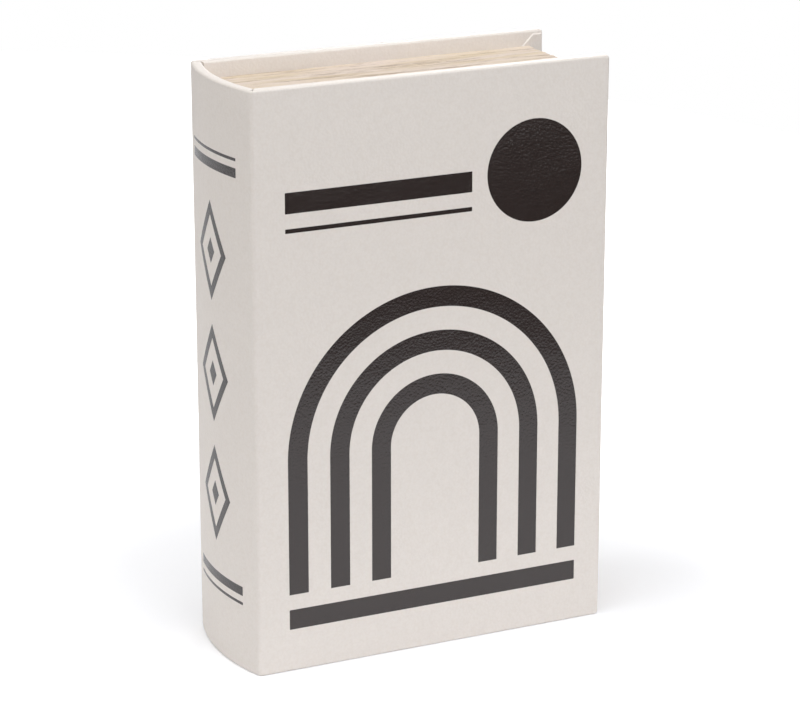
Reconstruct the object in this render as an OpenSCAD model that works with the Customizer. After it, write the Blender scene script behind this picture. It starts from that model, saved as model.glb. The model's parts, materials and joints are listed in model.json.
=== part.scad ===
// Storage box made to look like a bound book.
// Two leatherette covers and a rounded spine close round a tray whose outside is papered as page edges.
// The book stands on its tail edges: +Z runs from tail to head, +X from spine to fore-edge, -Y is the front.
// The front cover is the lid. It turns on the leatherette fold where it meets the spine.

/* [Book] */
// Height from tail edge to head edge
book_h = 270; // [200:1:360]
// Width from the crown of the spine to the fore-edge of the covers
book_w = 180; // [130:1:260]
// Depth from the front cover's outer face to the back cover's
book_d = 70; // [50:1:100]

/* [Covers] */
// Thickness of the boards inside both covers
cover_board_t = 4.5; // [3.5:0.1:6]
// Thickness of the leatherette that wraps every board
skin_t = 0.6; // [0.4:0.05:0.9]
// Rounding of the wrapped edges
edge_r = 1.8; // [1.2:0.1:2]
// Rounding of the cover corners, seen from the front
corner_r = 2; // [1.2:0.1:4]
// Width of the leatherette that is turned in on the inner faces
turn_in = 15; // [10:1:20]
// Width of the slit where two turned-in edges meet at a corner
mitre_slit = 0.3; // [0.2:0.05:0.6]

/* [Spine] */
// How far the spine's crown stands out past the line where it meets the covers
spine_bulge = 6; // [4:0.5:9]
// Thickness of the curved board inside the spine
spine_board_t = 3.6; // [2.8:0.1:5]

/* [Folds] */
// Outer radius of the leatherette folds between spine and covers
fold_r = 2; // [1.4:0.1:3]
// Gap between the mitred edges of spine and cover, where the fold bends
fold_gap = 0.4; // [0.3:0.05:0.8]
// How far the ends of a fold lie below the head and tail edges
fold_drop = 1; // [0.6:0.1:2]

/* [Page block] */
// How far the pages lie below the head and tail edges of the covers
head_inset = 7.7; // [4:0.1:12]
// How far the pages lie inside the fore-edge of the covers
fore_inset = 7; // [4:0.1:12]
// Thickness of the paper that is printed as page edges
page_paper_t = 0.4; // [0.3:0.05:0.8]
// Clearance between the closed lid and the tray's rim
lid_clearance = 0.3; // [0.2:0.05:0.8]

/* [Tray] */
// Thickness of the four walls
wall_t = 7; // [6:0.5:10]
// Thickness of the floor panel
floor_t = 3; // [2:0.5:5]
// Thickness of the lining sheets
lining_t = 0.5; // [0.3:0.05:0.6]
// Gap left round a lining sheet
lining_gap = 0.2; // [0.1:0.05:0.5]
// Gap between the tray's rounded end and the spine's inner face
spine_fit = 0.1; // [0.05:0.05:0.3]

/* [Magnets] */
// Diameter of the round magnets
magnet_d = 5; // [3:0.5:6]
// Thickness of the magnets
magnet_t = 2.5; // [1.5:0.5:3]
// Distance between the two magnets of a pair
magnet_spacing = 150; // [60:5:170]
// Clearance round a magnet in its pocket
magnet_fit = 0.1; // [0.05:0.05:0.2]

/* [Hidden] */

// Facets of a full turn, on small rounds and on the spine's large arcs
$fn = 96;
arc_fn = 360;
// Length by which a cutting shape runs on past what it cuts
over = 5;

leatherette = [0.83, 0.79, 0.76];
mdf = [0.66, 0.52, 0.36];
pages = [0.87, 0.80, 0.73];
lining = [0.78, 0.73, 0.68];
nickel = [0.75, 0.75, 0.76];

cover_t = cover_board_t + 2 * skin_t;
spine_t = spine_board_t + 2 * skin_t;
front_y = -book_d / 2;
fore_x = book_w / 2;
corner_x = -book_w / 2 + spine_bulge;
inner_y = front_y + cover_t;

// The spine's outer face is an arc through both cover corners and the crown
arc_r = (pow(book_d / 2, 2) + pow(spine_bulge, 2)) / (2 * spine_bulge);
arc_x = -book_w / 2 + arc_r;
arc_inner_r = arc_r - spine_t;

// A fold is tangent to the cover's outer face and to the spine's arc
fold_y = front_y + fold_r;
fold_x = arc_x - sqrt(pow(arc_r - fold_r, 2) - pow(fold_y, 2));
fold_angle = atan2(-fold_y, arc_x - fold_x);
mitre_angle = (90 + fold_angle) / 2;

// The tray, from its papered outside inwards
rim_y = inner_y + lid_clearance;
wall_y = rim_y + page_paper_t;
floor_y = -inner_y - floor_t;
block_x = fore_x - fore_inset;
block_z = [head_inset, book_h - head_inset];
wall_x = block_x - page_paper_t;
wall_z = [block_z[0] + page_paper_t, block_z[1] - page_paper_t];
cavity_z = [wall_z[0] + wall_t, wall_z[1] - wall_t];
tray_x = arc_x - sqrt(pow(arc_inner_r - spine_fit, 2) - pow(rim_y, 2)) + spine_fit;
cavity_x = [tray_x + wall_t, wall_x - wall_t];

magnet_x = wall_x - wall_t / 2;
magnet_z = [for (side = [-1, 1]) book_h / 2 + side * magnet_spacing / 2];

// Box between two values on each axis
module block(x, y, z) {
    translate([x[0], y[0], z[0]])
        cube([x[1] - x[0], y[1] - y[0], z[1] - z[0]]);
}

// Rectangle between two values on each axis, with round corners
module soft_rect(u, v, r) {
    translate([u[0] + r, v[0]])
        square([u[1] - u[0] - 2 * r, v[1] - v[0]]);
    translate([u[0], v[0] + r])
        square([u[1] - u[0], v[1] - v[0] - 2 * r]);
    for (a = [u[0] + r, u[1] - r], b = [v[0] + r, v[1] - r])
        translate([a, b])
            circle(r);
}

// Front cover as a slab with every edge rounded, drawn in by inset and running on past the spine's fold
module cover_slab(inset) {
    x = [corner_x - over, fore_x - inset];
    y = [front_y + inset, inner_y - inset];
    z = [inset, book_h - inset];
    intersection() {
        linear_extrude(book_h)
            soft_rect(x, y, edge_r - inset);
        translate([0, inner_y, 0])
            rotate([90, 0, 0])
                linear_extrude(cover_t)
                    soft_rect(x, z, corner_r - inset);
        translate([x[0], 0, 0])
            rotate([90, 0, 90])
                linear_extrude(x[1] - x[0])
                    soft_rect(y, z, edge_r - inset);
    }
}

// X of the mitred face that lies off the mitre by shift, at a depth behind the front face
function mitre_x(depth, shift) = fold_x + (depth - fold_r) / tan(mitre_angle) + shift / sin(mitre_angle);

// Distance from the fold's centre, inwards, to where a board's square edge meets its mitred face
function mitre_reach(inset) = (inset - (fold_gap / 2 + inset) / sin(mitre_angle)) * tan(mitre_angle);

// Cover's side of the front fold, seen from the head
module cover_side(inset) {
    shift = fold_gap / 2 + inset;
    deep = cover_t + over;
    polygon([
        [fold_x + inset, front_y - over],
        [fold_x + inset, fold_y + mitre_reach(inset)],
        [mitre_x(deep, shift), front_y + deep],
        [fore_x + over, front_y + deep],
        [fore_x + over, front_y - over]
    ]);
}

// Front cover cut to its mitred edge
module cover_blank(inset) {
    intersection() {
        cover_slab(inset);
        linear_extrude(book_h)
            cover_side(inset);
    }
}

// Slits where the turned-in leatherette meets at a free corner of the inner face
module mitre_slits() {
    for (up = [0, 1])
        translate([fore_x, 0, up * book_h])
            rotate([0, up ? 135 : -135, 0])
                translate([edge_r, inner_y - skin_t, -mitre_slit / 2])
                    cube([turn_in * sqrt(2), skin_t + over, mitre_slit]);
}

// Sheet that fills the inner face within the turned-in edges, or the window for it
module cover_window(gap, y) {
    start_x = mitre_x(cover_t, fold_gap / 2) + turn_in;
    block([start_x + gap, fore_x - turn_in - gap], y, [turn_in + gap, book_h - turn_in - gap]);
}

// Leatherette round the front cover's board
module cover_skin() {
    difference() {
        cover_blank(0);
        cover_blank(skin_t);
        cover_window(0, [inner_y - skin_t, inner_y + over]);
        mitre_slits();
    }
}

// Spine's side of both folds, seen from the head
module spine_side(inset) {
    shift = -fold_gap / 2 - inset;
    deep = cover_t + over;
    out = [cos(fold_angle), sin(fold_angle)];
    edge = [fold_x, fold_y] + [-out[1], out[0]] * inset;
    near = edge + out * mitre_reach(inset);
    far = edge - out * (fold_r + over);
    half = [[-book_w / 2 - over, far[1]], far, near, [mitre_x(deep, shift), front_y + deep]];
    polygon([each half, for (i = [len(half) - 1:-1:0]) [half[i][0], -half[i][1]]]);
}

// Curved spine with rounded head and tail edges, drawn in by inset
module spine_blank(inset) {
    intersection() {
        translate([arc_x, 0, 0])
            rotate_extrude($fn = arc_fn)
                soft_rect([arc_inner_r + inset, arc_r - inset], [inset, book_h - inset], edge_r - inset);
        linear_extrude(book_h)
            spine_side(inset);
    }
}

// Leatherette fold between the front face and the spine, mirrored for the back
module fold() {
    translate([fold_x, fold_y, fold_drop])
        rotate([0, 0, 180 + fold_angle])
            rotate_extrude(angle = 90 - fold_angle)
                translate([fold_r - skin_t, 0])
                    square([skin_t, book_h - 2 * fold_drop]);
}

// Page block seen from the head, between two depths, from the spine's inner arc to an end near the fore-edge
module block_plan(y, end_x) {
    intersection() {
        union() {
            translate([arc_x, 0])
                circle(arc_inner_r - spine_fit, $fn = arc_fn);
            translate([arc_x, front_y])
                square([book_w, book_d]);
        }
        translate([-book_w / 2, y[0]])
            square([end_x + book_w / 2, y[1] - y[0]]);
    }
}

// One magnet of each pair, or its pocket, from its hidden face to its outer face
module magnet_pair(y, gap) {
    for (z = magnet_z)
        translate([magnet_x, y[1], z])
            rotate([90, 0, 0])
                cylinder(d = magnet_d + 2 * gap, h = y[1] - y[0]);
}

lid_magnet_y = [inner_y - skin_t - magnet_t, inner_y - skin_t];
tray_magnet_y = [wall_y, wall_y + magnet_t];

module lid_board() {
    color(mdf)
        difference() {
            cover_blank(skin_t);
            magnet_pair([lid_magnet_y[0], lid_magnet_y[1] + over], magnet_fit);
        }
}

module lid_skin() {
    color(leatherette)
        cover_skin();
}

module lid_lining() {
    color(lining)
        cover_window(lining_gap, [inner_y - skin_t, inner_y - skin_t + lining_t]);
}

module lid_magnets() {
    color(nickel)
        magnet_pair(lid_magnet_y, 0);
}

module hinge_strip() {
    color(leatherette)
        fold();
}

module spine_board() {
    color(mdf)
        spine_blank(skin_t);
}

module spine_skin() {
    color(leatherette)
        difference() {
            spine_blank(0);
            spine_blank(skin_t);
            translate([arc_x, 0, turn_in])
                cylinder(r = arc_inner_r + skin_t, h = book_h - 2 * turn_in, $fn = arc_fn);
        }
}

module back_fold() {
    color(leatherette)
        mirror([0, 1, 0])
            fold();
}

module back_board() {
    color(mdf)
        mirror([0, 1, 0])
            cover_blank(skin_t);
}

module back_skin() {
    color(leatherette)
        mirror([0, 1, 0])
            cover_skin();
}

module tray_floor() {
    color(mdf)
        translate([0, 0, wall_z[0]])
            linear_extrude(wall_z[1] - wall_z[0])
                block_plan([floor_y, -inner_y], wall_x);
}

// Head or tail wall, rounded at one end to fit the spine
module end_wall(z) {
    translate([0, 0, z])
        linear_extrude(wall_t)
            block_plan([wall_y, floor_y], wall_x);
}

module head_wall() {
    color(mdf)
        end_wall(cavity_z[1]);
}

module tail_wall() {
    color(mdf)
        end_wall(wall_z[0]);
}

module fore_edge_wall() {
    color(mdf)
        difference() {
            block([cavity_x[1], wall_x], [wall_y, floor_y], cavity_z);
            magnet_pair([tray_magnet_y[0] - over, tray_magnet_y[1]], magnet_fit);
        }
}

module spine_wall() {
    color(mdf)
        block([tray_x, cavity_x[0]], [wall_y, floor_y], cavity_z);
}

// Printed paper over the head, fore-edge and tail, turned over the rim of those three walls
module page_paper() {
    color(pages)
        difference() {
            translate([0, 0, block_z[0]])
                linear_extrude(block_z[1] - block_z[0])
                    block_plan([rim_y, -inner_y], block_x);
            block([-book_w / 2, wall_x], [wall_y, book_d / 2], wall_z);
            block([-book_w / 2, cavity_x[1]], [rim_y - over, book_d / 2], cavity_z);
        }
}

// Strip over the rim of the spine-side wall, beside the hinge
module hinge_lining() {
    color(leatherette)
        translate([0, 0, cavity_z[0]])
            linear_extrude(cavity_z[1] - cavity_z[0])
                block_plan([rim_y, wall_y], cavity_x[0]);
}

module tray_side_lining() {
    color(lining)
        difference() {
            block(cavity_x, [rim_y, floor_y], cavity_z);
            block([cavity_x[0] + lining_t, cavity_x[1] - lining_t], [rim_y - over, floor_y + over],
                [cavity_z[0] + lining_t, cavity_z[1] - lining_t]);
        }
}

module tray_floor_lining() {
    edge = lining_t + lining_gap;
    color(lining)
        block([cavity_x[0] + edge, cavity_x[1] - edge], [floor_y - lining_t, floor_y],
            [cavity_z[0] + edge, cavity_z[1] - edge]);
}

module tray_magnets() {
    color(nickel)
        magnet_pair(tray_magnet_y, 0);
}

lid_board();
lid_skin();
lid_lining();
lid_magnets();
hinge_strip();
spine_board();
spine_skin();
back_fold();
back_board();
back_skin();
tray_floor();
head_wall();
tail_wall();
fore_edge_wall();
spine_wall();
page_paper();
hinge_lining();
tray_side_lining();
tray_floor_lining();
tray_magnets();
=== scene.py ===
"""Book box: leatherette covers and spine, printed design, page-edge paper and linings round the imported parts."""

import json
import math

import bmesh
import bpy
from bpy.props import FloatProperty, FloatVectorProperty, PointerProperty
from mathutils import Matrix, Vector


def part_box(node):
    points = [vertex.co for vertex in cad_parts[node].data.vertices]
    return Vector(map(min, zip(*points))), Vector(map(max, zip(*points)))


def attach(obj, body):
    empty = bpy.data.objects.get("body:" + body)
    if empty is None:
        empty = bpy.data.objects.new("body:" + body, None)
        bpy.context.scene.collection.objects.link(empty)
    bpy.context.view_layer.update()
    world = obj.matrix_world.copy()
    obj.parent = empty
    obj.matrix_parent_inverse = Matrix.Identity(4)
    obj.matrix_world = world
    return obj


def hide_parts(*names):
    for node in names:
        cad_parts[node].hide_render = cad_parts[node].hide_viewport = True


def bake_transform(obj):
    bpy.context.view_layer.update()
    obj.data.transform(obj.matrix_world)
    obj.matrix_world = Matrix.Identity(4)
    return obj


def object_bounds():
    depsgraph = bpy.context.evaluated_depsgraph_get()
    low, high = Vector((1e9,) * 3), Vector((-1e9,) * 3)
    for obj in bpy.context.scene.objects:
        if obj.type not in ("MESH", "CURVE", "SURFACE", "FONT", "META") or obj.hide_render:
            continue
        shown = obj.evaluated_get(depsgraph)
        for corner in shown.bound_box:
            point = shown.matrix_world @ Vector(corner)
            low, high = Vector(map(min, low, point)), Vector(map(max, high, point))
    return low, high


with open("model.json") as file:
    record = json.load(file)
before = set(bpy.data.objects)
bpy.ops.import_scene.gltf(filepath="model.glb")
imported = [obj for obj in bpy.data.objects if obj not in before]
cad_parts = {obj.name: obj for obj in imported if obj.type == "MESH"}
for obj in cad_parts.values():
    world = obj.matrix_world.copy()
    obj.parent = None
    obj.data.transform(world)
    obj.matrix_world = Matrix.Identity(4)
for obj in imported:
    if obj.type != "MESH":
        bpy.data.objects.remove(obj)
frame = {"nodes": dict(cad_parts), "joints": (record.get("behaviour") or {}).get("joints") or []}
CAD_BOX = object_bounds()

bl_info = {
    "name": "Book box",
    "version": (1, 0, 0),
    "blender": (4, 5, 0),
    "location": "View3D > Sidebar > Book box",
    "description": "Models the leatherette, print, page edges and linings of a box in the shape of a book",
    "category": "Object",
}

MM = 0.001

# Two places are the same within TOUCH, and vertices closer than WELD are merged
TOUCH = 0.02 * MM
WELD = 0.004 * MM

# Segments in a cover's rounded corner, in a wrapped edge, in half of the spine's arc and in a fold's arc
CORNER_STEPS = 7
ROUND_STEPS = 6
ARC_STEPS = 20
FOLD_STEPS = 16

# Angles in degrees above which faces of leatherette and of embossed paper meet in a crease
CREASE = 38
PAPER_CREASE = 50

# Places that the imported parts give, in metres
LID_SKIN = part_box("lid_skin")
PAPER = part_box("page_paper")
HINGE = Vector(frame["joints"][0]["pos_m"])
BOOK_H = CAD_BOX[1].z
HALF_D = CAD_BOX[1].y
FORE_X = CAD_BOX[1].x
COVER_T = LID_SKIN[1].y - LID_SKIN[0].y
FOLD_X = LID_SKIN[0].x

# The spine's outer face is an arc through both cover corners and the crown
BULGE = HINGE.x + FORE_X
ARC_R = (HALF_D**2 + BULGE**2) / (2 * BULGE)
ARC_X = ARC_R - FORE_X


def linear(code):
    """Linear colour of an sRGB hex code."""
    parts = [int(code[i : i + 2], 16) / 255 for i in (1, 3, 5)]
    return [c / 12.92 if c <= 0.04045 else ((c + 0.055) / 1.055) ** 2.4 for c in parts]


def length(name, text, millimetres):
    """Property that holds a length, with its default in millimetres."""
    return FloatProperty(name=name, description=text, default=millimetres * MM, unit="LENGTH", precision=5)


def colour(name, text, code):
    """Property that holds a colour, with its default as an sRGB hex code."""
    return FloatVectorProperty(name=name, description=text, default=linear(code), subtype="COLOR", min=0, max=1)


class BookWrap(bpy.types.PropertyGroup):
    """Leatherette round the covers and the spine."""

    sheet: length("Leatherette", "Thickness of the leatherette sheet", 0.6)
    edge_r: length("Edge rounding", "Radius of the wrapped edges", 1)
    corner_r: length("Corner rounding", "Radius of the cover corners, seen from the front", 1.5)
    turn_in: length("Turn-in", "Width of the sheet that is turned in on the inner faces", 15)
    spine_t: length("Spine", "Thickness of the wrapped spine", 4.8)
    fold_r: length("Fold", "Outer radius of the folds between spine and covers", 2)
    fold_gap: length("Fold gap", "Gap between the mitred edges of spine and cover", 0.4)
    mitre_shift: length("Mitre start", "How far the mitred turn-in starts from the corner", 5.3)
    mitre_lip: length("Mitre lip", "Height of the upper layer's cut edge at a mitred corner", 0.5)
    white: colour("Leatherette", "Colour of the leatherette", "#DED7D1")
    ink: colour("Ink", "Colour of the print", "#201512")


class BookPages(bpy.types.PropertyGroup):
    """Paper that is printed and embossed as page edges."""

    sheet: length("Paper", "Thickness of the paper", 0.08)
    relief: length("Relief", "Height of the embossed page edges", 0.5)
    rim: length("Rim", "Width of the paper that is turned over the tray's rim", 7.4)
    pale: colour("Pale pages", "Colour of the page edges that stand out", "#DBCDC2")
    yellowed: colour("Yellowed pages", "Colour of the page edges that have yellowed", "#D4C4AC")
    # The dark end of the page tone: the darker streaks, and the painted shade in the hollows and splits
    brown: colour("Page gaps", "Colour of the splits between the pages", "#998473")


class BookInside(bpy.types.PropertyGroup):
    """Linings, boards and magnets."""

    lining: colour("Lining", "Colour of the lining paper", "#E4DCD0")
    board: colour("Board", "Colour of the raw fibreboard", "#A98A62")
    nickel: colour("Nickel", "Colour of the plated magnets", "#C9C8C6")


def settings():
    """The three groups of sizes and colours."""
    scene = bpy.context.scene
    return scene.book_wrap, scene.book_pages, scene.book_inside


# Shaping tools


def deselect():
    """Leaves edit mode and clears the selection."""
    if bpy.context.object and bpy.context.object.mode != "OBJECT":
        bpy.ops.object.mode_set(mode="OBJECT")
    bpy.ops.object.select_all(action="DESELECT")


def take(piece):
    """Leaves edit mode and selects one piece alone."""
    deselect()
    piece.select_set(True)
    bpy.context.view_layer.objects.active = piece


def start(name, primitive, low, high, **shape):
    """Adds a primitive, sized and placed between two corners, and opens it for editing."""
    deselect()
    low, high = Vector(low), Vector(high)
    primitive(size=1, location=(0, 0, 0), **shape)
    piece = bpy.context.object
    piece.name = piece.data.name = name
    bpy.ops.object.transform_apply()
    piece.scale = [size or 1 for size in high - low]
    piece.location = (low + high) / 2
    bpy.ops.object.transform_apply()
    bpy.ops.object.mode_set(mode="EDIT")
    return piece


def pick(kind, test):
    """Selects only the vertices, edges or faces of the open piece that pass a test."""
    bpy.ops.mesh.select_mode(type=kind)
    bpy.ops.mesh.select_all(action="DESELECT")
    data = bpy.context.object.data
    mesh = bmesh.from_edit_mesh(data)
    items = {"VERT": mesh.verts, "EDGE": mesh.edges, "FACE": mesh.faces}[kind]
    found = [item for item in items if test(item)]
    if not found:
        raise RuntimeError(f"no {kind.lower()} of {bpy.context.object.name} was found")
    for item in found:
        item.select_set(True)
    mesh.select_flush_mode()
    bmesh.update_edit_mesh(data)


def near(a, b):
    """True if two lengths are as good as the same."""
    return abs(a - b) < TOUCH


def ends(edge, test):
    """True if both ends of an edge pass a test on their place."""
    return all(test(v.co) for v in edge.verts)


def modify(piece, kind, **values):
    """Adds a modifier to a piece and applies it."""
    take(piece)
    made = piece.modifiers.new(kind.title(), kind)
    for key, value in values.items():
        setattr(made, key, value)
    bpy.ops.object.modifier_apply(modifier=made.name)


def tidy(piece):
    """Merges doubles and turns every face outwards."""
    take(piece)
    bpy.ops.object.mode_set(mode="EDIT")
    bpy.ops.mesh.select_all(action="SELECT")
    bpy.ops.mesh.remove_doubles(threshold=WELD)
    bpy.ops.mesh.normals_make_consistent(inside=False)
    bpy.ops.object.mode_set(mode="OBJECT")


def smooth(piece, degrees):
    """Shades a piece smooth, with a crease where faces meet at a larger angle."""
    take(piece)
    bpy.ops.object.shade_smooth_by_angle(angle=math.radians(degrees))


def dress(piece, material):
    """Gives a piece its material."""
    piece.data.materials.clear()
    piece.data.materials.append(material)


# Geometry of the folds, seen from the head


def fold_angle(wrap):
    """Angle of the spine's arc where a fold meets it."""
    return math.atan2(HALF_D - wrap.fold_r, ARC_X - FOLD_X)


def mitre_angle(wrap):
    """Angle of the mitred edges between a cover and the spine."""
    return (math.pi / 2 + fold_angle(wrap)) / 2


def mitre_x(wrap, depth, shift):
    """X of a mitred face at a depth behind the cover's outer face."""
    m = mitre_angle(wrap)
    return FOLD_X + (depth - wrap.fold_r) / math.tan(m) + shift / math.sin(m)


# Leatherette


# A mitre starts MITRE_INSET inside the rounded edge, and its cut edge slopes up to the lip over LIP_SLOPE. The lip is
# lower on the lid, which shuts on the tray's rim.
MITRE_INSET = 0.8 * MM
LIP_SLOPE = 0.28 * MM
LID_LIP_SHARE = 0.5

# Faces of the spine up to this far outside its inner radius belong to its inner face
INNER_REACH = 0.1 * MM

# How far behind the outermost point of the front cover and of the spine the print may lie
COVER_PRINT = 1 * MM
SPINE_PRINT = 3.5 * MM


def cover_wrap(name, side):
    """Leatherette round one cover: side is -1 for the front and 1 for the back."""
    wrap = settings()[0]

    def depth(co):
        return HALF_D - side * co.y

    y = sorted([side * HALF_D, side * (HALF_D - COVER_T)])
    piece = start(name, bpy.ops.mesh.primitive_cube_add, (FOLD_X, y[0], 0), (FORE_X, y[1], BOOK_H))

    # The edge beside the spine is cut to the mitre
    knee = wrap.fold_r - wrap.fold_gap / 2 / math.cos(mitre_angle(wrap))
    pick("FACE", lambda f: f.normal.x < -0.9)
    bpy.ops.mesh.bisect(plane_co=(0, side * (HALF_D - knee), 0), plane_no=(0, 1, 0))
    inner_x = mitre_x(wrap, COVER_T, wrap.fold_gap / 2)
    pick("VERT", lambda v: near(v.co.x, FOLD_X) and near(depth(v.co), COVER_T))
    bpy.ops.transform.translate(value=(inner_x - FOLD_X, 0, 0))

    # Corners and edges are rounded, apart from the side that runs on into the fold
    pick("EDGE", lambda e: ends(e, lambda co: near(co.x, FORE_X)) and near(e.verts[0].co.z, e.verts[1].co.z))
    bpy.ops.mesh.bevel(offset=wrap.corner_r, segments=CORNER_STEPS, profile=0.5, affect="EDGES")

    def outline(edge):
        for place, x in ((0, FOLD_X), (COVER_T, inner_x)):
            if ends(edge, lambda co: near(depth(co), place)):
                return not ends(edge, lambda co: near(co.x, x))
        return False

    pick("EDGE", outline)
    bpy.ops.mesh.bevel(offset=wrap.edge_r, segments=ROUND_STEPS, profile=0.5, affect="EDGES")

    # The sheet is turned in round a window on the inner face
    window_x = (inner_x + wrap.turn_in, FORE_X - wrap.turn_in)
    window_z = (wrap.turn_in, BOOK_H - wrap.turn_in)

    def inner(face):
        return -side * face.normal.y > 0.99 and near(depth(face.calc_center_median()), COVER_T)

    for place in window_x:
        pick("FACE", inner)
        bpy.ops.mesh.bisect(plane_co=(place, 0, 0), plane_no=(1, 0, 0))
    for place in window_z:
        pick("FACE", inner)
        bpy.ops.mesh.bisect(plane_co=(0, 0, place), plane_no=(0, 0, 1))
    pick("FACE", lambda f: inner(f) and window_x[0] < f.calc_center_median().x < window_x[1]
         and window_z[0] < f.calc_center_median().z < window_z[1])
    bpy.ops.mesh.delete(type="FACE")

    # Folded corners: the fore-edge turn-in lies over the head and tail ones, so its edge stands proud along a mitre,
    # and beyond the mitre's start along the head or tail
    for up in (0, 1):
        corner_z = up * BOOK_H
        inward = 1 - 2 * up
        start_z = corner_z + inward * (wrap.edge_r + MITRE_INSET)
        start_x = FORE_X - wrap.mitre_shift

        def beyond(face):
            c = face.calc_center_median()
            return inner(face) and c.x > window_x[1] and abs(c.z - corner_z) < wrap.turn_in

        pick("FACE", beyond)
        bpy.ops.mesh.bisect(plane_co=(start_x, 0, start_z), plane_no=(1, 0, inward))
        pick("FACE", lambda f: beyond(f) and f.calc_center_median().x - start_x
             > inward * (start_z - f.calc_center_median().z))
        bpy.ops.mesh.bisect(plane_co=(0, 0, start_z), plane_no=(0, 0, 1))

        def from_cut(co, distance):
            across, along = co.x - start_x, inward * (co.z - start_z)
            return near(depth(co), COVER_T) and near(min(along, (across + along) / math.sqrt(2)), distance)

        pick("EDGE", lambda e: ends(e, lambda co: from_cut(co, 0)))
        bpy.ops.mesh.bevel(offset=LIP_SLOPE, segments=1, affect="EDGES")
        pick("EDGE", lambda e: ends(e, lambda co: from_cut(co, LIP_SLOPE)))
        bpy.ops.mesh.mark_sharp()
        lip = wrap.mitre_lip if side > 0 else wrap.mitre_lip * LID_LIP_SHARE
        bpy.ops.transform.translate(value=(0, -side * lip, 0))
    tidy(piece)
    modify(piece, "SOLIDIFY", thickness=wrap.sheet, offset=-1, use_even_offset=True, use_quality_normals=True)
    smooth(piece, CREASE)
    return piece


def spine_wrap(name):
    """Leatherette round the curved spine."""
    wrap = settings()[0]
    turn = fold_angle(wrap)
    inner_r = ARC_R - wrap.spine_t
    piece = start(name, bpy.ops.mesh.primitive_plane_add,
                  (-FORE_X, 0, 0), (wrap.spine_t - FORE_X, 0, BOOK_H), rotation=(math.pi / 2, 0, 0))
    pick("VERT", lambda v: True)
    bpy.ops.mesh.bevel(offset=wrap.edge_r, segments=ROUND_STEPS, profile=0.5, affect="VERTICES")
    pick("FACE", lambda f: True)
    bpy.ops.mesh.delete(type="ONLY_FACE")
    pick("EDGE", lambda e: True)
    bpy.ops.mesh.spin(steps=ARC_STEPS, angle=turn, center=(ARC_X, 0, 0), axis=(0, 0, 1))

    # The end is closed and cut to the mitre, and then the half is mirrored
    half = 1 if sum(v.co.y for v in bmesh.from_edit_mesh(piece.data).verts) > 0 else -1
    pick("EDGE", lambda e: e.is_boundary and not ends(e, lambda co: near(co.y, 0)))
    bpy.ops.mesh.edge_face_add()
    m = mitre_angle(wrap)
    bpy.ops.mesh.select_all(action="SELECT")
    bpy.ops.mesh.bisect(
        plane_co=(mitre_x(wrap, wrap.fold_r, -wrap.fold_gap / 2), half * (HALF_D - wrap.fold_r), 0),
        plane_no=(math.sin(m), half * math.cos(m), 0), use_fill=True, clear_outer=True)
    modify(piece, "MIRROR", use_axis=(False, True, False), merge_threshold=WELD)
    tidy(piece)

    # The inner face is open between the turned-in bands
    bpy.ops.object.mode_set(mode="EDIT")
    for place in (wrap.turn_in, BOOK_H - wrap.turn_in):
        bpy.ops.mesh.select_all(action="SELECT")
        bpy.ops.mesh.bisect(plane_co=(0, 0, place), plane_no=(0, 0, 1))

    def within(face):
        c = face.calc_center_median()
        r = math.hypot(c.x - ARC_X, c.y)
        return r < inner_r + INNER_REACH and face.normal.x > 0.8 and wrap.turn_in < c.z < BOOK_H - wrap.turn_in

    pick("FACE", within)
    bpy.ops.mesh.delete(type="FACE")
    modify(piece, "SOLIDIFY", thickness=wrap.sheet, offset=-1, use_even_offset=True, use_quality_normals=True)
    smooth(piece, CREASE)
    return piece


def fold_strip(name, side):
    """Leatherette fold between the spine and one cover, rounded over at head and tail: side is -1 for the front."""
    wrap = settings()[0]
    y = sorted([side * HALF_D, side * (HALF_D - wrap.edge_r)])
    piece = start(name, bpy.ops.mesh.primitive_plane_add,
                  (FOLD_X, y[0], 0), (FOLD_X, y[1], BOOK_H), rotation=(0, math.pi / 2, 0))
    pick("VERT", lambda v: near(side * v.co.y, HALF_D))
    bpy.ops.mesh.bevel(offset=wrap.edge_r, segments=ROUND_STEPS, profile=0.5, affect="VERTICES")
    pick("VERT", lambda v: near(side * v.co.y, HALF_D - wrap.edge_r))
    bpy.ops.mesh.delete(type="VERT")
    bpy.ops.mesh.select_all(action="SELECT")
    bpy.ops.mesh.spin(steps=FOLD_STEPS, angle=-side * (math.pi / 2 - fold_angle(wrap)),
                      center=(FOLD_X, side * (HALF_D - wrap.fold_r), 0), axis=(0, 0, 1))
    tidy(piece)
    modify(piece, "SOLIDIFY", thickness=wrap.sheet, offset=-1, use_even_offset=True)
    smooth(piece, CREASE)
    return piece


# Page edges


# The strip is modelled this many times shorter and then stretched, so that round hollows become long ones
SHORTENED = 24

EMBOSSING = (
    # name, size of the bumps in millimetres, height as a share of the relief
    ("gatherings", 4.0, 1.0),
    ("leaves", 1.4, 0.8),
    ("fibres", 0.7, 0.9),
)

# Vertices this close to a split's line are pushed in, and its sides slope over SPLIT_SLOPE
SPLIT_HALF = 0.17 * MM
SPLIT_SLOPE = 0.8 * MM

# No hollow is deeper, so that none sinks into the board under the paper
DEEPEST = 0.28 * MM

# Painted shade runs from 0 in a gap to 1 on a leaf that stands out, so hollows and splits are painted darker.
# Paper without relief has FLAT_SHADE, the shade goes from 0 to 1 over SHADE_SPAN times the relief's height, and
# painted light makes the rim, which lies in the light, paler by the third constant.
FLAT_SHADE = 0.35
SHADE_SPAN = 1.6
RIM_PAINTED_LIGHT = 0.4

# On the rim the relief is pressed to this share of its height, about a plane RIM_PLANE below the paper's face
RIM_PRESS = 0.3
RIM_PLANE = 0.15 * MM

# Half the width of the rim's notches at the fold, and how close to a vertex their cuts merge with it
NOTCH_HALF = 0.05 * MM
NOTCH_WELD = 0.005 * MM

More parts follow.
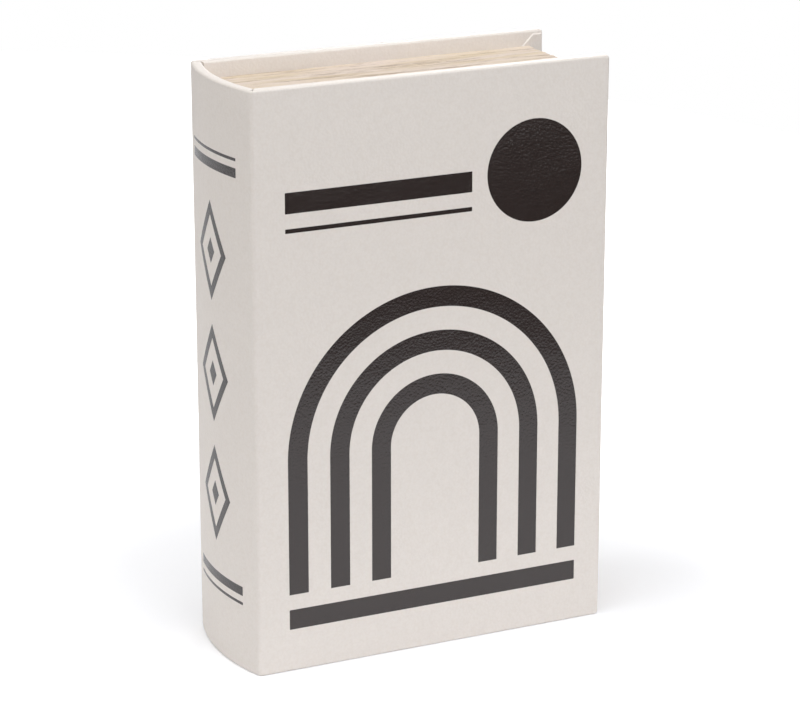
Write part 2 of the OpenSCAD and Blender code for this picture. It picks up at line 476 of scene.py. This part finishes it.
# Cuts along the spine's inner curve: how many on each side of the middle one, the turn in radians from one to the
# next, and how far inside the curve they lie
TRIM_STEPS = 8
TRIM_TURN = 0.037
TRIM_CLEAR = 0.1 * MM

SPLITS = (
    # place across the block, start and end along the strip, depth in millimetres
    (0.16, 0.00, 0.22, 0.5),
    (0.23, 0.72, 1.00, 0.6),
    (0.31, 0.34, 0.62, 0.6),
    (0.37, 0.80, 1.00, 0.5),
    (0.47, 0.05, 0.41, 0.5),
    (0.55, 0.72, 0.90, 0.5),
    (0.63, 0.87, 1.00, 0.8),
    (0.66, 0.42, 0.78, 0.5),
    (0.77, 0.76, 0.97, 0.6),
    (0.84, 0.10, 0.36, 0.5),
    (0.90, 0.55, 0.86, 0.6),
)


def page_edges(name):
    """Embossed paper over tail, fore-edge and head of the tray, and over the rim of those three walls."""
    wrap, pages, _ = settings()
    low, high = PAPER
    reach, width = high.x - low.x, high.y - low.y
    middle = (low.z + high.z) / 2
    strip = 2 * reach + (high.z - low.z)

    # The strip starts shortened and flat, as seen from the fore-edge
    half = strip / 2 / SHORTENED
    piece = start(name, bpy.ops.mesh.primitive_grid_add, (high.x, low.y - pages.rim, middle - half),
                  (high.x, high.y, middle + half), rotation=(0, math.pi / 2, 0), x_subdivisions=190,
                  y_subdivisions=212)
    for label, across, height in EMBOSSING:
        texture = bpy.data.textures.new(label, "CLOUDS")
        texture.noise_scale, texture.noise_depth = across * MM, 0
        modify(piece, "DISPLACE", texture=texture, direction="X", mid_level=0.3, strength=height * pages.relief)
    bpy.ops.object.mode_set(mode="EDIT")
    for place, first, last, depth in SPLITS:
        start_z, end_z = (middle + (share - 0.5) * 2 * half for share in (first, last))

        def on_split(vertex):
            # A split wanders across the block in a slow wave and a quick one
            along = (vertex.co.z - middle) / half
            wander = (1.1 * math.sin(7 * along + 40 * place) + 0.5 * math.sin(23 * along + 90 * place)) * MM
            off = abs(vertex.co.y - low.y - place * width - wander)
            return start_z <= vertex.co.z <= end_z and off < SPLIT_HALF

        pick("VERT", on_split)
        bpy.ops.transform.translate(value=(-depth * MM, 0, 0), use_proportional_edit=True,
                                    proportional_edit_falloff="SMOOTH", proportional_size=SPLIT_SLOPE)
    # Nothing sinks into the board
    bottom = high.x - DEEPEST
    pick("VERT", lambda v: v.co.x < bottom)
    bpy.ops.transform.resize(value=(0, 1, 1), center_override=(bottom, 0, middle))
    bpy.ops.object.mode_set(mode="OBJECT")
    # The relief attribute holds painted shade, darker in hollows and splits, and painted light that makes the rim
    # paler
    relief = piece.data.attributes.new("relief", "FLOAT", "POINT")
    for vertex in piece.data.vertices:
        rim_light = RIM_PAINTED_LIGHT if vertex.co.y < low.y else 0
        shade = FLAT_SHADE + rim_light + (vertex.co.x - high.x) / (SHADE_SPAN * pages.relief)
        relief.data[vertex.index].value = min(1 + rim_light, max(0, shade))

    # Full length, pressed flatter on the rim, with a line of vertices at each fold
    bpy.ops.object.mode_set(mode="EDIT")
    bpy.ops.mesh.select_all(action="SELECT")
    bpy.ops.transform.resize(value=(1, 1, SHORTENED), center_override=(high.x, 0, middle))
    for place, normal in (((0, 0, low.z), (0, 0, 1)), ((0, 0, high.z), (0, 0, 1)), ((0, low.y, 0), (0, 1, 0))):
        bpy.ops.mesh.select_all(action="SELECT")
        bpy.ops.mesh.bisect(plane_co=place, plane_no=normal)
    pick("VERT", lambda v: v.co.y < low.y - TOUCH)
    bpy.ops.transform.resize(value=(RIM_PRESS, 1, 1), center_override=(high.x - RIM_PLANE, 0, 0))

    # A notch at each corner of the rim lets the paper meet in a mitre. Then the rim and both ends are folded over.
    tip = low.y + NOTCH_HALF
    for corner in (low.z, high.z):
        for lean in (-1, 1):
            pick("FACE", lambda f: f.calc_center_median().y < low.y)
            bpy.ops.mesh.bisect(plane_co=(0, tip, corner), plane_no=(0, 1, lean), threshold=NOTCH_WELD)
        pick("FACE", lambda f: f.calc_center_median().y < low.y
             and abs(f.calc_center_median().z - corner) < tip - f.calc_center_median().y)
        bpy.ops.mesh.delete(type="FACE")
    quarter = math.pi / 2
    pick("VERT", lambda v: v.co.y < low.y - TOUCH)
    bpy.ops.transform.rotate(value=quarter, orient_axis="Z", center_override=(high.x, low.y, 0))
    pick("VERT", lambda v: v.co.z > high.z + TOUCH)
    bpy.ops.transform.rotate(value=quarter, orient_axis="Y", center_override=(high.x, 0, high.z))
    pick("VERT", lambda v: v.co.z < low.z - TOUCH)
    bpy.ops.transform.rotate(value=-quarter, orient_axis="Y", center_override=(high.x, 0, low.z))

    # The ends are trimmed along the spine's inner curve
    inner_r = ARC_R - wrap.spine_t - TRIM_CLEAR
    for step in range(-TRIM_STEPS, TRIM_STEPS + 1):
        turn = step * TRIM_TURN
        bpy.ops.mesh.select_all(action="SELECT")
        bpy.ops.mesh.bisect(plane_co=(ARC_X - inner_r * math.cos(turn), inner_r * math.sin(turn), 0),
                            plane_no=(-math.cos(turn), math.sin(turn), 0), clear_outer=True)
    tidy(piece)
    modify(piece, "SOLIDIFY", thickness=pages.sheet, offset=-1)
    smooth(piece, PAPER_CREASE)
    return piece


# Materials


def new_material(name):
    """Empty material and its node tree."""
    material = bpy.data.materials.new(name)
    material.use_nodes = True
    material.node_tree.nodes.clear()
    return material, material.node_tree


def add(tree, kind, inputs=(), give=None, **values):
    """Adds a shader node with its settings and returns one output: the one named, or else the first in use.

    inputs maps a socket's name or index to a value, or to the output that it is linked from.
    """
    node = tree.nodes.new("ShaderNode" + kind)
    for key, value in values.items():
        setattr(node, key, value)
    for key, value in dict(inputs).items():
        socket = node.inputs[key] if isinstance(key, int) else next(
            s for s in node.inputs if s.enabled and s.name == key)
        if isinstance(value, bpy.types.NodeSocket):
            tree.links.new(value, socket)
        else:
            socket.default_value = value
    return node.outputs[give] if give else next((out for out in node.outputs if out.enabled), None)


def finish(tree, **inputs):
    """Principled shader on the material's output. Each underscore in a name stands for a space."""
    named = {key.replace("_", " "): value for key, value in inputs.items()}
    add(tree, "OutputMaterial", {"Surface": add(tree, "BsdfPrincipled", named)})


def opaque(code, share=1.0):
    """Colour with alpha, made lighter or darker by a share."""
    return [min(1, share * c) for c in code[:3]] + [1]


# Print: each shape gives its distance from a place on the surface, in metres, and is negative inside


def bar(tree, place, centre, half):
    """Upright rectangle, with corners rounded by the ink."""
    rounding = 0.3 * MM
    inner = [h - rounding for h in half]
    off = add(tree, "VectorMath", {0: place, 1: (*centre, 0)}, operation="SUBTRACT")
    off = add(tree, "VectorMath", {0: off}, operation="ABSOLUTE")
    off = add(tree, "VectorMath", {0: off, 1: (*inner, 1)}, operation="SUBTRACT")
    off = add(tree, "VectorMath", {0: off, 1: (0, 0, 0)}, operation="MAXIMUM")
    off = add(tree, "VectorMath", {0: off}, operation="LENGTH")
    return add(tree, "Math", {0: off, 1: rounding}, operation="SUBTRACT")


def disc(tree, place, centre, radius):
    """Round spot."""
    off = add(tree, "VectorMath", {0: place, 1: (*centre, 0)}, operation="DISTANCE")
    return add(tree, "Math", {0: off, 1: radius}, operation="SUBTRACT")


def arch(tree, place, spring, radius, stroke, foot):
    """Half ring on two legs that stand on a foot line."""
    off = add(tree, "VectorMath", {0: place, 1: (*spring, 0)}, operation="SUBTRACT")
    above = add(tree, "VectorMath", {0: off, 1: (-1, 0, 0)}, operation="MAXIMUM")
    reach = add(tree, "VectorMath", {0: above}, operation="LENGTH")
    ring = add(tree, "Math", {0: reach, 1: radius}, operation="SUBTRACT")
    ring = add(tree, "Math", {0: ring}, operation="ABSOLUTE")
    ring = add(tree, "Math", {0: ring, 1: stroke / 2}, operation="SUBTRACT")
    height = add(tree, "SeparateXYZ", {0: place}, give="Y")
    below = add(tree, "Math", {0: foot, 1: height}, operation="SUBTRACT")
    return add(tree, "Math", {0: ring, 1: below}, operation="MAXIMUM")


def lozenge(tree, place, centre, half, stroke):
    """Outline of a lozenge."""
    off = add(tree, "VectorMath", {0: place, 1: (*centre, 0)}, operation="SUBTRACT")
    off = add(tree, "VectorMath", {0: off}, operation="ABSOLUTE")
    side = math.hypot(*half)
    off = add(tree, "VectorMath", {0: off, 1: (half[1] / side, half[0] / side, 0)}, operation="DOT_PRODUCT")
    off = add(tree, "Math", {0: off, 1: half[0] * half[1] / side - stroke / 2}, operation="SUBTRACT")
    off = add(tree, "Math", {0: off}, operation="ABSOLUTE")
    return add(tree, "Math", {0: off, 1: stroke / 2}, operation="SUBTRACT")


def cover_design(tree, place):
    """Three nested arches on a bar, under a disc and two rules."""
    stroke = 9.5 * MM
    middle = (FOLD_X + FORE_X) / 2
    widest, spring_z, foot_z = 68 * MM, 100 * MM, 37 * MM
    rule_x, rule_half = middle - 27.5 * MM, 45.25 * MM
    shapes = [arch(tree, place, (middle, spring_z), r, stroke, foot_z) for r in (widest, 47.5 * MM, 27 * MM)]
    shapes.append(bar(tree, place, (middle, 25 * MM), (widest + stroke / 2, stroke / 2)))
    shapes.append(disc(tree, place, (middle + 49 * MM, 221 * MM), 23.75 * MM))
    shapes.append(bar(tree, place, (rule_x, 219 * MM), (rule_half, stroke / 2)))
    shapes.append(bar(tree, place, (rule_x, 206.5 * MM), (rule_half, 1 * MM)))
    return shapes


def spine_design(tree, place):
    """Bands near head and tail, and three lozenges between them."""
    middle = BOOK_H / 2
    shapes = []
    for side in (-1, 1):
        for off, half in ((97 * MM, 2.2 * MM), (103 * MM, 0.7 * MM)):
            shapes.append(bar(tree, place, (0, middle + side * off), (24 * MM, half)))
    for off in (-57 * MM, 0, 57 * MM):
        shapes.append(lozenge(tree, place, (0, middle + off), (15 * MM, 23 * MM), 3.6 * MM))
        shapes.append(lozenge(tree, place, (0, middle + off), (4 * MM, 6 * MM), 4 * MM))
    return shapes


def leatherette(name, design=None, across="X", inwards="Y", outer=0.0):
    """Vinyl-coated bookbinding leatherette, embossed with a fine grain and screen-printed where a design is given.

    It gives the eye a satin off-white with a faint pebble that shows where light grazes it. The ink lies in the
    same grain, near black, with a soft sheen that picks up the table. Only what lies below the limit called outer,
    along the axis that points inwards, is printed.
    """
    wrap = settings()[0]
    material, tree = new_material(name)
    place = add(tree, "TexCoord", give="Object")

    # Pebbles are drawn 1.1 mm apart, coarser than the real 0.6 mm, so that they show. The sheet waves over 16 mm.
    pebble = add(tree, "TexVoronoi", {"Vector": place, "Scale": 1 / (1.1 * MM), "Smoothness": 0.7},
                 feature="SMOOTH_F1")
    fine = add(tree, "TexNoise", {"Vector": place, "Scale": 1 / (0.5 * MM), "Detail": 3.0})
    waves = add(tree, "TexNoise", {"Vector": place, "Scale": 1 / (16 * MM), "Detail": 1.0})
    mottle = add(tree, "TexNoise", {"Vector": place, "Scale": 1 / (3 * MM), "Detail": 5.0})
    grain = add(tree, "Math", {0: fine, 1: 0.5, 2: pebble}, operation="MULTIPLY_ADD")
    embossed = add(tree, "Bump", {"Height": grain, "Strength": 0.6, "Distance": 0.12 * MM})
    surface = add(tree, "Bump", {"Height": waves, "Strength": 0.5, "Distance": 0.4 * MM, "Normal": embossed})

    # Between the pebbles the colour is a little darker and warmer
    white = wrap.white
    tone = add(tree, "MapRange", {"Value": mottle, "From Min": 0.3, "From Max": 0.7})
    colour_out = add(tree, "Mix", {"Factor": tone, "A": opaque(white), "B": opaque(white, 0.97)}, data_type="RGBA")
    hollow = add(tree, "MapRange", {"Value": pebble, "From Min": 0.35, "From Max": 0.75, "To Max": 0.3})
    pebble_border_tone = [0.9 * white[0], 0.87 * white[1], 0.83 * white[2], 1]
    colour_out = add(tree, "Mix", {"Factor": hollow, "A": colour_out, "B": pebble_border_tone}, data_type="RGBA")
    rough = add(tree, "Math", {0: fine, 1: 0.16, 2: 0.42}, operation="MULTIPLY_ADD")
    if design:
        u = add(tree, "SeparateXYZ", {0: place}, give=across)
        v = add(tree, "SeparateXYZ", {0: place}, give="Z")
        shapes = design(tree, add(tree, "CombineXYZ", {0: u, 1: v}))
        nearest = shapes[0]
        for shape in shapes[1:]:
            nearest = add(tree, "Math", {0: nearest, 1: shape}, operation="MINIMUM")
        beyond = add(tree, "Math", {0: add(tree, "SeparateXYZ", {0: place}, give=inwards), 1: outer},
                     operation="SUBTRACT")
        nearest = add(tree, "Math", {0: nearest, 1: beyond}, operation="MAXIMUM")
        # Ink spreads up to 0.1 mm along the grain
        ragged = add(tree, "Math", {0: fine, 1: 0.1 * MM, 2: nearest}, operation="MULTIPLY_ADD")
        mask = add(tree, "MapRange", {"Value": ragged, "From Min": 0.12 * MM, "From Max": 0.0})
        worn = add(tree, "MapRange", {"Value": fine, "From Min": 0.4, "From Max": 0.8})
        ink = add(tree, "Mix", {"Factor": worn, "A": opaque(wrap.ink), "B": opaque(wrap.ink, 1.8)}, data_type="RGBA")
        colour_out = add(tree, "Mix", {"Factor": mask, "A": colour_out, "B": ink}, data_type="RGBA")
        rough = add(tree, "Math", {0: mask, 1: -0.28, 2: rough}, operation="MULTIPLY_ADD")
    finish(tree, Base_Color=colour_out, Roughness=rough, IOR=1.5, Specular_IOR_Level=0.8, Normal=surface)
    return material


def page_paper():
    """Matt paper, printed and embossed as the edges of many leaves.

    It gives the eye ragged cream and brown streaks along the leaves, with painted shade that is darkest where the
    block has split, and painted light on the rim.
    """
    pages = settings()[1]
    material, tree = new_material("Embossed page-edge paper")
    low, high = PAPER
    strip, width = 2 * (high.x - low.x) + (high.z - low.z), high.y - low.y + pages.rim
    # The map runs once along the strip and once across it, so a scale is the strip's size by a streak's size.
    # Leaves are drawn 0.4 mm thick, coarser than the real 0.1 mm, so that they show.
    found = add(tree, "TexCoord", give="UV")
    layers = []
    # length and width of a streak, and the noise's detail
    for long, wide, detail in ((45 * MM, 0.4 * MM, 2.0), (7 * MM, 1.2 * MM, 5.0), (55 * MM, 4 * MM, 3.0)):
        place = add(tree, "Mapping", {"Vector": found, "Scale": (strip / long, width / wide, 1)})
        layers.append(add(tree, "TexNoise", {"Vector": place, "Scale": 1.0, "Detail": detail, "Roughness": 0.6,
                                             "Distortion": 0.4}))
    leaf, ragged, gathering = layers
    # The relief attribute brings painted shade into the hollows and splits and painted light onto the rim
    relief = add(tree, "Attribute", give="Fac", attribute_name="relief")
    mixed = add(tree, "Math", {0: relief, 1: 0.6}, operation="MULTIPLY")
    mixed = add(tree, "Math", {0: leaf, 1: 0.9, 2: mixed}, operation="MULTIPLY_ADD")
    mixed = add(tree, "Math", {0: ragged, 1: 0.8, 2: mixed}, operation="MULTIPLY_ADD")
    tone = add(tree, "MapRange", {"Value": mixed, "From Min": 0.77, "From Max": 1.23})
    yellow = add(tree, "MapRange", {"Value": gathering, "From Min": 0.4, "From Max": 0.65})
    leaves = add(tree, "Mix", {"Factor": yellow, "A": opaque(pages.pale), "B": opaque(pages.yellowed)},
                 data_type="RGBA")
    colour_out = add(tree, "Mix", {"Factor": tone, "A": opaque(pages.brown), "B": leaves}, data_type="RGBA")
    both = add(tree, "Math", {0: ragged, 1: leaf}, operation="ADD")
    surface = add(tree, "Bump", {"Height": both, "Strength": 0.8, "Distance": 0.25 * MM})
    finish(tree, Base_Color=colour_out, Roughness=0.85, IOR=1.45, Specular_IOR_Level=0.3, Normal=surface)
    return material


def lining_paper():
    """Uncoated lining paper.

    It gives the eye a warm, even off-white with short fibres and no gloss.
    """
    inside = settings()[2]
    material, tree = new_material("Uncoated lining paper")
    place = add(tree, "TexCoord", give="Object")
    # Fibres are drawn 0.8 mm across, coarser than the real 0.1 mm, so that they show
    fibre = add(tree, "TexNoise", {"Vector": place, "Scale": 1 / (0.8 * MM), "Detail": 5.0, "Distortion": 0.8})
    cloud = add(tree, "TexNoise", {"Vector": place, "Scale": 1 / (5 * MM), "Detail": 3.0})
    mixed = add(tree, "Math", {0: cloud, 1: 0.3, 2: fibre}, operation="MULTIPLY_ADD")
    tone = add(tree, "MapRange", {"Value": mixed, "From Min": 0.45, "From Max": 0.85})
    base = inside.lining
    colour_out = add(tree, "Mix", {"Factor": tone, "A": opaque(base, 0.93), "B": opaque(base)}, data_type="RGBA")
    surface = add(tree, "Bump", {"Height": fibre, "Strength": 0.4, "Distance": 0.08 * MM})
    finish(tree, Base_Color=colour_out, Roughness=0.9, IOR=1.45, Specular_IOR_Level=0.3, Normal=surface)
    return material


def fibreboard():
    """Raw medium-density fibreboard, sawn.

    It gives the eye a dull, warm brown with fine flecks of lighter and darker fibre.
    """
    inside = settings()[2]
    material, tree = new_material("Medium-density fibreboard")
    place = add(tree, "TexCoord", give="Object")
    # Flecks are about 0.7 mm across
    fleck = add(tree, "TexNoise", {"Vector": place, "Scale": 1 / (0.7 * MM), "Detail": 6.0})
    tone = add(tree, "MapRange", {"Value": fleck, "From Min": 0.3, "From Max": 0.7})
    base = inside.board
    colour_out = add(tree, "Mix", {"Factor": tone, "A": opaque(base, 0.7), "B": opaque(base, 1.25)},
                     data_type="RGBA")
    surface = add(tree, "Bump", {"Height": fleck, "Strength": 0.5, "Distance": 0.08 * MM})
    finish(tree, Base_Color=colour_out, Roughness=0.88, Normal=surface)
    return material


def nickel_plate():
    """Nickel plating on a pressed and ground magnet.

    It gives the eye a bright grey metal with a slightly uneven gloss.
    """
    inside = settings()[2]
    material, tree = new_material("Nickel plating")
    place = add(tree, "TexCoord", give="Object")
    # The plating's orange peel is about 0.4 mm across
    peel = add(tree, "TexNoise", {"Vector": place, "Scale": 1 / (0.4 * MM), "Detail": 3.0})
    rough = add(tree, "Math", {0: peel, 1: 0.14, 2: 0.2}, operation="MULTIPLY_ADD")
    surface = add(tree, "Bump", {"Height": peel, "Strength": 0.2, "Distance": 0.02 * MM})
    finish(tree, Base_Color=opaque(inside.nickel), Metallic=1.0, Roughness=rough, Normal=surface)
    return material


# Operators


class BOOKBOX_OT_covers(bpy.types.Operator):
    """Models the leatherette round both covers"""

    bl_idname = "bookbox.covers"
    bl_label = "Covers"

    def execute(self, context):
        printed = leatherette("Printed leatherette, front", cover_design, outer=COVER_PRINT - HALF_D)
        plain = leatherette("Leatherette")
        for name, side, node, body, material in (
            ("lid_leatherette", -1, "lid_skin", "lid", printed),
            ("back_leatherette", 1, "back_skin", "box", plain),
        ):
            piece = cover_wrap(name, side)
            dress(piece, material)
            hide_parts(node)
            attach(piece, body)
        return {"FINISHED"}


class BOOKBOX_OT_spine(bpy.types.Operator):
    """Models the leatherette round the spine and the folds beside it"""

    bl_idname = "bookbox.spine"
    bl_label = "Spine and folds"

    def execute(self, context):
        wrap = settings()[0]
        plain = bpy.data.materials["Leatherette"]
        spine = spine_wrap("spine_leatherette")
        printed = leatherette("Printed leatherette, spine", spine_design, "Y", "X", SPINE_PRINT - FORE_X)
        dress(spine, printed)
        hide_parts("spine_skin")
        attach(spine, "box")
        rear = fold_strip("rear_fold", 1)
        dress(rear, plain)
        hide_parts("back_fold")
        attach(rear, "box")
        front = fold_strip("front_fold", -1)
        dress(front, plain)
        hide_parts("hinge_strip")
        angle = fold_angle(wrap)
        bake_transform(front)
        return {"FINISHED"}


class BOOKBOX_OT_pages(bpy.types.Operator):
    """Models the paper that is embossed as page edges"""

    bl_idname = "bookbox.pages"
    bl_label = "Page edges"

    def execute(self, context):
        piece = page_edges("page_edges")
        dress(piece, page_paper())
        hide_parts("page_paper")
        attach(piece, "box")
        return {"FINISHED"}


class BOOKBOX_OT_inside(bpy.types.Operator):
    """Finishes the linings, boards and magnets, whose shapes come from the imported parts"""

    bl_idname = "bookbox.inside"
    bl_label = "Linings, boards and magnets"

    def execute(self, context):
        finishes = (
            (lining_paper(), ("lid_lining", "tray_side_lining", "tray_floor_lining")),
            (bpy.data.materials["Leatherette"], ("hinge_lining",)),
            (fibreboard(), ("lid_board", "spine_board", "back_board", "tray_floor", "head_wall", "tail_wall",
                            "fore_edge_wall", "spine_wall")),
            (nickel_plate(), ("lid_magnets", "tray_magnets")),
        )
        for material, nodes in finishes:
            for node in nodes:
                data = frame["nodes"][node].data
                data.materials.clear()
                data.materials.append(material)
        return {"FINISHED"}


class BOOKBOX_OT_stage(bpy.types.Operator):
    """Sets a white table, soft studio lights and the camera"""

    bl_idname = "bookbox.stage"
    bl_label = "Stage"

    def execute(self, context):
        scene = context.scene
        scene.view_settings.view_transform = "Standard"
        set_camera(scene)
        set_table()
        set_world(scene)
        # name, place, power and colour of each lamp; all point at the middle of the book
        for name, place, power, code in (
            ("Overhead softbox", (-0.3, -0.4, 3.2), 74, "#FFFFFF"),
            ("Front softbox", (0.9, -3, 1.3), 60, "#FFFFFF"),
            ("Left softbox", (-2.9, 0.5, 1.3), 38, "#FFFDF9"),
            ("Rear softbox", (2.2, 2.6, 0.7), 54, "#FFFFFF"),
        ):
            set_lamp(name, place, power, code)
        return {"FINISHED"}


def set_camera(scene):
    """Camera at the photograph's angle and distance."""
    azimuth, elevation = math.radians(-25.29), math.radians(17.66)
    distance = 1.382
    centre = Vector((0.011, 0, 0.135))
    aside, below = 0.0077, 0.0051
    back = Vector((math.sin(azimuth) * math.cos(elevation), -math.cos(azimuth) * math.cos(elevation),
                   math.sin(elevation)))
    turned = (-back).to_track_quat("-Z", "Y")
    right, up = turned @ Vector((1, 0, 0)), turned @ Vector((0, 1, 0))
    data = bpy.data.cameras.new("Camera")
    data.lens, data.sensor_width = 134.9, 36
    camera = bpy.data.objects.new("Camera", data)
    camera.location = centre - aside * right - below * up + distance * back
    camera.rotation_euler = turned.to_euler()
    scene.collection.objects.link(camera)
    scene.camera = camera


def set_lamp(name, place, power, code):
    """Softbox of two metres that points at the middle of the book."""
    data = bpy.data.lights.new(name, "AREA")
    data.shape, data.size, data.energy, data.color = "SQUARE", 2, power, linear(code)
    lamp = bpy.data.objects.new(name, data)
    lamp.location = place
    lamp.rotation_euler = (Vector((0, 0, BOOK_H / 2)) - lamp.location).to_track_quat("-Z", "Y").to_euler()
    bpy.context.scene.collection.objects.link(lamp)


def set_table():
    """Round white table top, seen as pure white away from the book's shadow.

    It reaches far enough to the back left to be mirrored in the spine's ink, and ends in front where the upper
    print of the cover mirrors the dark beyond it. Its glow is for the camera alone, and grows away from the book.
    """
    deselect()
    bpy.ops.mesh.primitive_circle_add(vertices=96, radius=1, fill_type="NGON", location=(-0.25, 0.45, 0))
    bpy.ops.object.transform_apply()
    table = bpy.context.object
    table.name = "table"
    material, tree = new_material("White studio table")
    reach = add(tree, "VectorMath", {0: add(tree, "TexCoord", give="Object")}, operation="LENGTH")
    away = add(tree, "MapRange", {"Value": reach, "From Min": 0.14, "From Max": 0.36, "To Min": 0.1, "To Max": 1.0},
               interpolation_type="SMOOTHSTEP")
    seen = add(tree, "LightPath", give="Is Camera Ray")
    strength = add(tree, "Math", {0: away, 1: seen}, operation="MULTIPLY")
    matt = add(tree, "BsdfDiffuse", {"Color": (*linear("#F3F4F7"), 1)})
    glow = add(tree, "Emission", {"Color": (1, 1, 1, 1), "Strength": strength})
    add(tree, "OutputMaterial", {"Surface": add(tree, "AddShader", {0: matt, 1: glow})})
    table.data.materials.append(material)


def set_world(scene):
    """White to the camera, and above the table also in what mirrors it or lets it through, but a dim light."""
    world = bpy.data.worlds.new("Studio")
    world.use_nodes = True
    tree = world.node_tree
    tree.nodes.clear()
    mirrored, through, seen = (add(tree, "LightPath", give=f"Is {ray} Ray")
                               for ray in ("Glossy", "Transmission", "Camera"))
    height = add(tree, "SeparateXYZ", {0: add(tree, "TexCoord", give="Generated")}, give="Z")
    above = add(tree, "MapRange", {"Value": height, "From Min": 0.0, "From Max": 0.4})
    share = add(tree, "Math", {0: mirrored, 1: through}, operation="MAXIMUM")
    share = add(tree, "Math", {0: share, 1: above}, operation="MULTIPLY")
    share = add(tree, "Math", {0: share, 1: seen}, operation="MAXIMUM")
    strength = add(tree, "MapRange", {"Value": share, "To Min": 0.08})
    add(tree, "OutputWorld", {"Surface": add(tree, "Background", {"Color": (1, 1, 1, 1), "Strength": strength})})
    scene.world = world


class BOOKBOX_PT_sidebar(bpy.types.Panel):
    """Pieces, sizes and colours of the book box"""

    bl_label = "Book box"
    bl_idname = "BOOKBOX_PT_sidebar"
    bl_space_type = "VIEW_3D"
    bl_region_type = "UI"
    bl_category = "Book box"

    def draw(self, context):
        for operator in OPERATORS:
            self.layout.operator(operator.bl_idname)
        for group in settings():
            box = self.layout.box()
            for name in group.bl_rna.properties.keys():
                if name not in ("rna_type", "name"):
                    box.prop(group, name)


OPERATORS = (BOOKBOX_OT_covers, BOOKBOX_OT_spine, BOOKBOX_OT_pages, BOOKBOX_OT_inside, BOOKBOX_OT_stage)
GROUPS = (("book_wrap", BookWrap), ("book_pages", BookPages), ("book_inside", BookInside))


def register():
    for name, group in GROUPS:
        bpy.utils.register_class(group)
        setattr(bpy.types.Scene, name, PointerProperty(type=group))
    for made in (*OPERATORS, BOOKBOX_PT_sidebar):
        bpy.utils.register_class(made)


def unregister():
    for made in (BOOKBOX_PT_sidebar, *reversed(OPERATORS)):
        bpy.utils.unregister_class(made)
    for name, group in GROUPS:
        delattr(bpy.types.Scene, name)
        bpy.utils.unregister_class(group)


def main():
    """Makes every piece and the stage."""
    register()
    bpy.ops.bookbox.covers()
    bpy.ops.bookbox.spine()
    bpy.ops.bookbox.pages()
    bpy.ops.bookbox.inside()
    bpy.ops.bookbox.stage()


if __name__ == "__main__":
    main()
